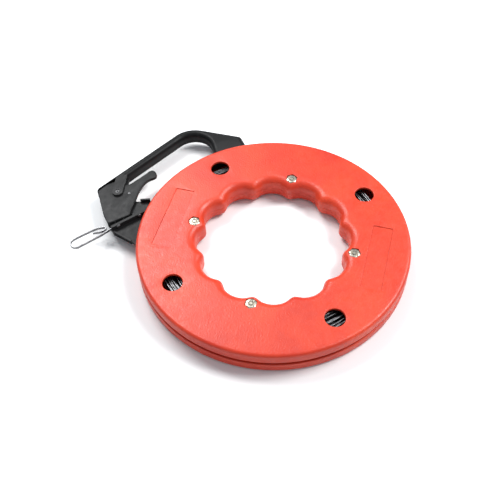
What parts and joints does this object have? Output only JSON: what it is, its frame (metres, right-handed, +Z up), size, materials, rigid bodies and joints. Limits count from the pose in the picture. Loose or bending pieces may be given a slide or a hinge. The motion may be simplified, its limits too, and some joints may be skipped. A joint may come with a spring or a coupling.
{
  "type": "fish tape reel",
  "caption": "Round flat reel of steel fish tape with a scalloped hand opening, bolted red-orange casing halves and a black braked handle that runs round the rim.",
  "frame": {"origin": "on the reel's turning axis, level with the casing's underside, which is also the floor it lies on", "axes": "+Z up along the reel's axis; -X along the straight leading tape, from the rim towards the folded eye; +Y across the reel towards the hand grip"},
  "size_m": [0.3348, 0.3599, 0.029],
  "materials": {
    "reel_plastic": "satin red-orange moulded plastic with a fine pebble grain",
    "black_plastic": "satin black glass-filled plastic",
    "lever_plastic": "satin charcoal moulded plastic",
    "pad_rubber": "soft black rubber",
    "zinc_steel": "zinc-plated steel",
    "nickel_nut": "bright nickel plating",
    "spring_steel": "oiled blue-grey spring steel",
    "tape_steel": "bright rolled tape steel",
    "bronze": "sintered bronze"
  },
  "bodies": {
    "casing": {"upper_shell": "reel_plastic", "lower_shell": "reel_plastic", "shell_bolts": "zinc_steel", "shell_nuts": "nickel_nut", "tape_coil": "spring_steel", "anchor_clip": "zinc_steel", "anchor_rivet": "zinc_steel"},
    "handle": {"handle_frame": "black_plastic", "grip_upper": "black_plastic", "grip_lower": "black_plastic", "grip_pad": "pad_rubber", "handle_screws": "zinc_steel", "guide_strip": "zinc_steel", "guide_rivets": "zinc_steel", "pivot_pin": "zinc_steel", "pivot_clip": "zinc_steel"},
    "lever": {"brake_lever": "lever_plastic", "lever_bush": "bronze", "return_spring": "spring_steel", "spring_post": "zinc_steel", "brake_pad": "pad_rubber", "pad_rivets": "zinc_steel"},
    "leader": {"tape_leader": "tape_steel"}
  },
  "joints": [
    {"name": "handle_turn", "type": "hinge", "parent": "casing", "child": "handle", "pos_m": [0, 0, 0.0145], "axis": [0, 0, 1], "continuous": true},
    {"name": "brake_pull", "type": "hinge", "parent": "handle", "child": "lever", "pos_m": [-0.105, 0.1652, 0.018], "axis": [0, 0, 1], "range_deg": [0, 5.2], "stiffness_Nm_per_rad": 0.8, "springref_deg": -5.73},
    {"name": "tape_pull", "type": "slide", "parent": "handle", "child": "leader", "axis": [-1, 0, 0], "range_m": [0, 0.045]}
  ]
}
